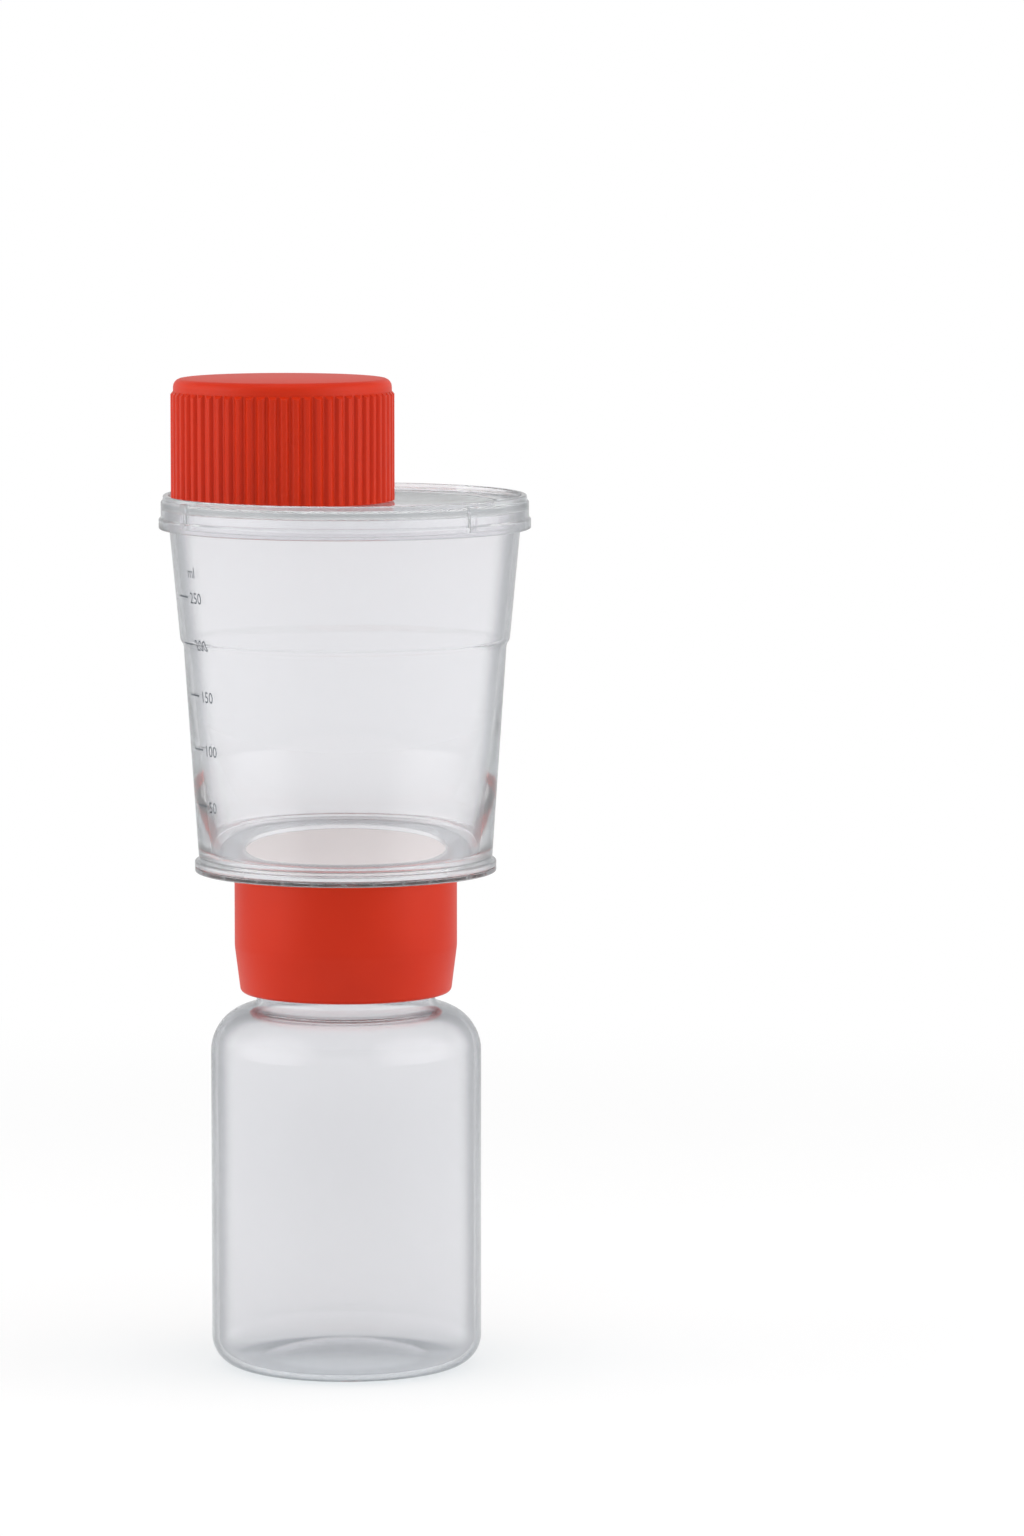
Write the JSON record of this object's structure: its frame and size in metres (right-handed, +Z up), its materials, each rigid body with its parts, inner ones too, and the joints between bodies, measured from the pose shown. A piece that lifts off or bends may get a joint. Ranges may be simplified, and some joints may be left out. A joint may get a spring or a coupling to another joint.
{
  "type": "vacuum filtration unit",
  "caption": "Clear stepped filter funnel on a coloured screw adapter with a barbed hose port, over a round clear storage bottle, with a loose lid and the bottle's cap resting on it.",
  "frame": {"origin": "on the unit's axis, in the plane of the ring that the bottle stands on", "axes": "+Z up along the axis of bottle, adapter and funnel; +Y towards the hose port; -Y is the front, and the cap lies on the lid towards -X"},
  "size_m": [0.0876, 0.0883, 0.2342],
  "materials": {
    "clear_polystyrene": "clear crystal polystyrene, polished mould surface",
    "orange_polyethylene": "orange-red moulded polyethylene, satin",
    "membrane": "white cast filter membrane, matt",
    "silicone": "pale soft seal"
  },
  "bodies": {
    "bottle": {"storage_bottle": "clear_polystyrene"},
    "bottle_seal": {"bottle_gasket": "silicone"},
    "adapter": {"vacuum_adapter": "orange_polyethylene"},
    "unit_seal": {"unit_gasket": "silicone"},
    "filter_unit": {"filter_base": "clear_polystyrene", "membrane": "membrane", "funnel": "clear_polystyrene"},
    "lid": {"funnel_lid": "clear_polystyrene", "bottle_cap": "orange_polyethylene"}
  },
  "joints": [
    {"name": "adapter_rise", "type": "slide", "parent": "bottle", "child": "bottle_seal", "axis": [0, 0, 1], "range_m": [0, 0.0071]},
    {"name": "adapter_turn", "type": "hinge", "parent": "bottle_seal", "child": "adapter", "pos_m": [0, 0, 0.1], "axis": [0, 0, 1], "range_deg": [0, 630]},
    {"name": "unit_rise", "type": "slide", "parent": "adapter", "child": "unit_seal", "axis": [0, 0, 1], "range_m": [0, 0.0071]},
    {"name": "unit_turn", "type": "hinge", "parent": "unit_seal", "child": "filter_unit", "pos_m": [0, 0, 0.117], "axis": [0, 0, 1], "range_deg": [0, 630]},
    {"name": "lid_lift", "type": "slide", "parent": "filter_unit", "child": "lid", "axis": [0, 0, 1], "range_m": [0, 0.04]}
  ],
  "couplings": [
    {"joint": "adapter_rise", "follows": "adapter_turn", "m_per_rad": 0.00063662},
    {"joint": "unit_rise", "follows": "unit_turn", "m_per_rad": 0.00063662}
  ]
}
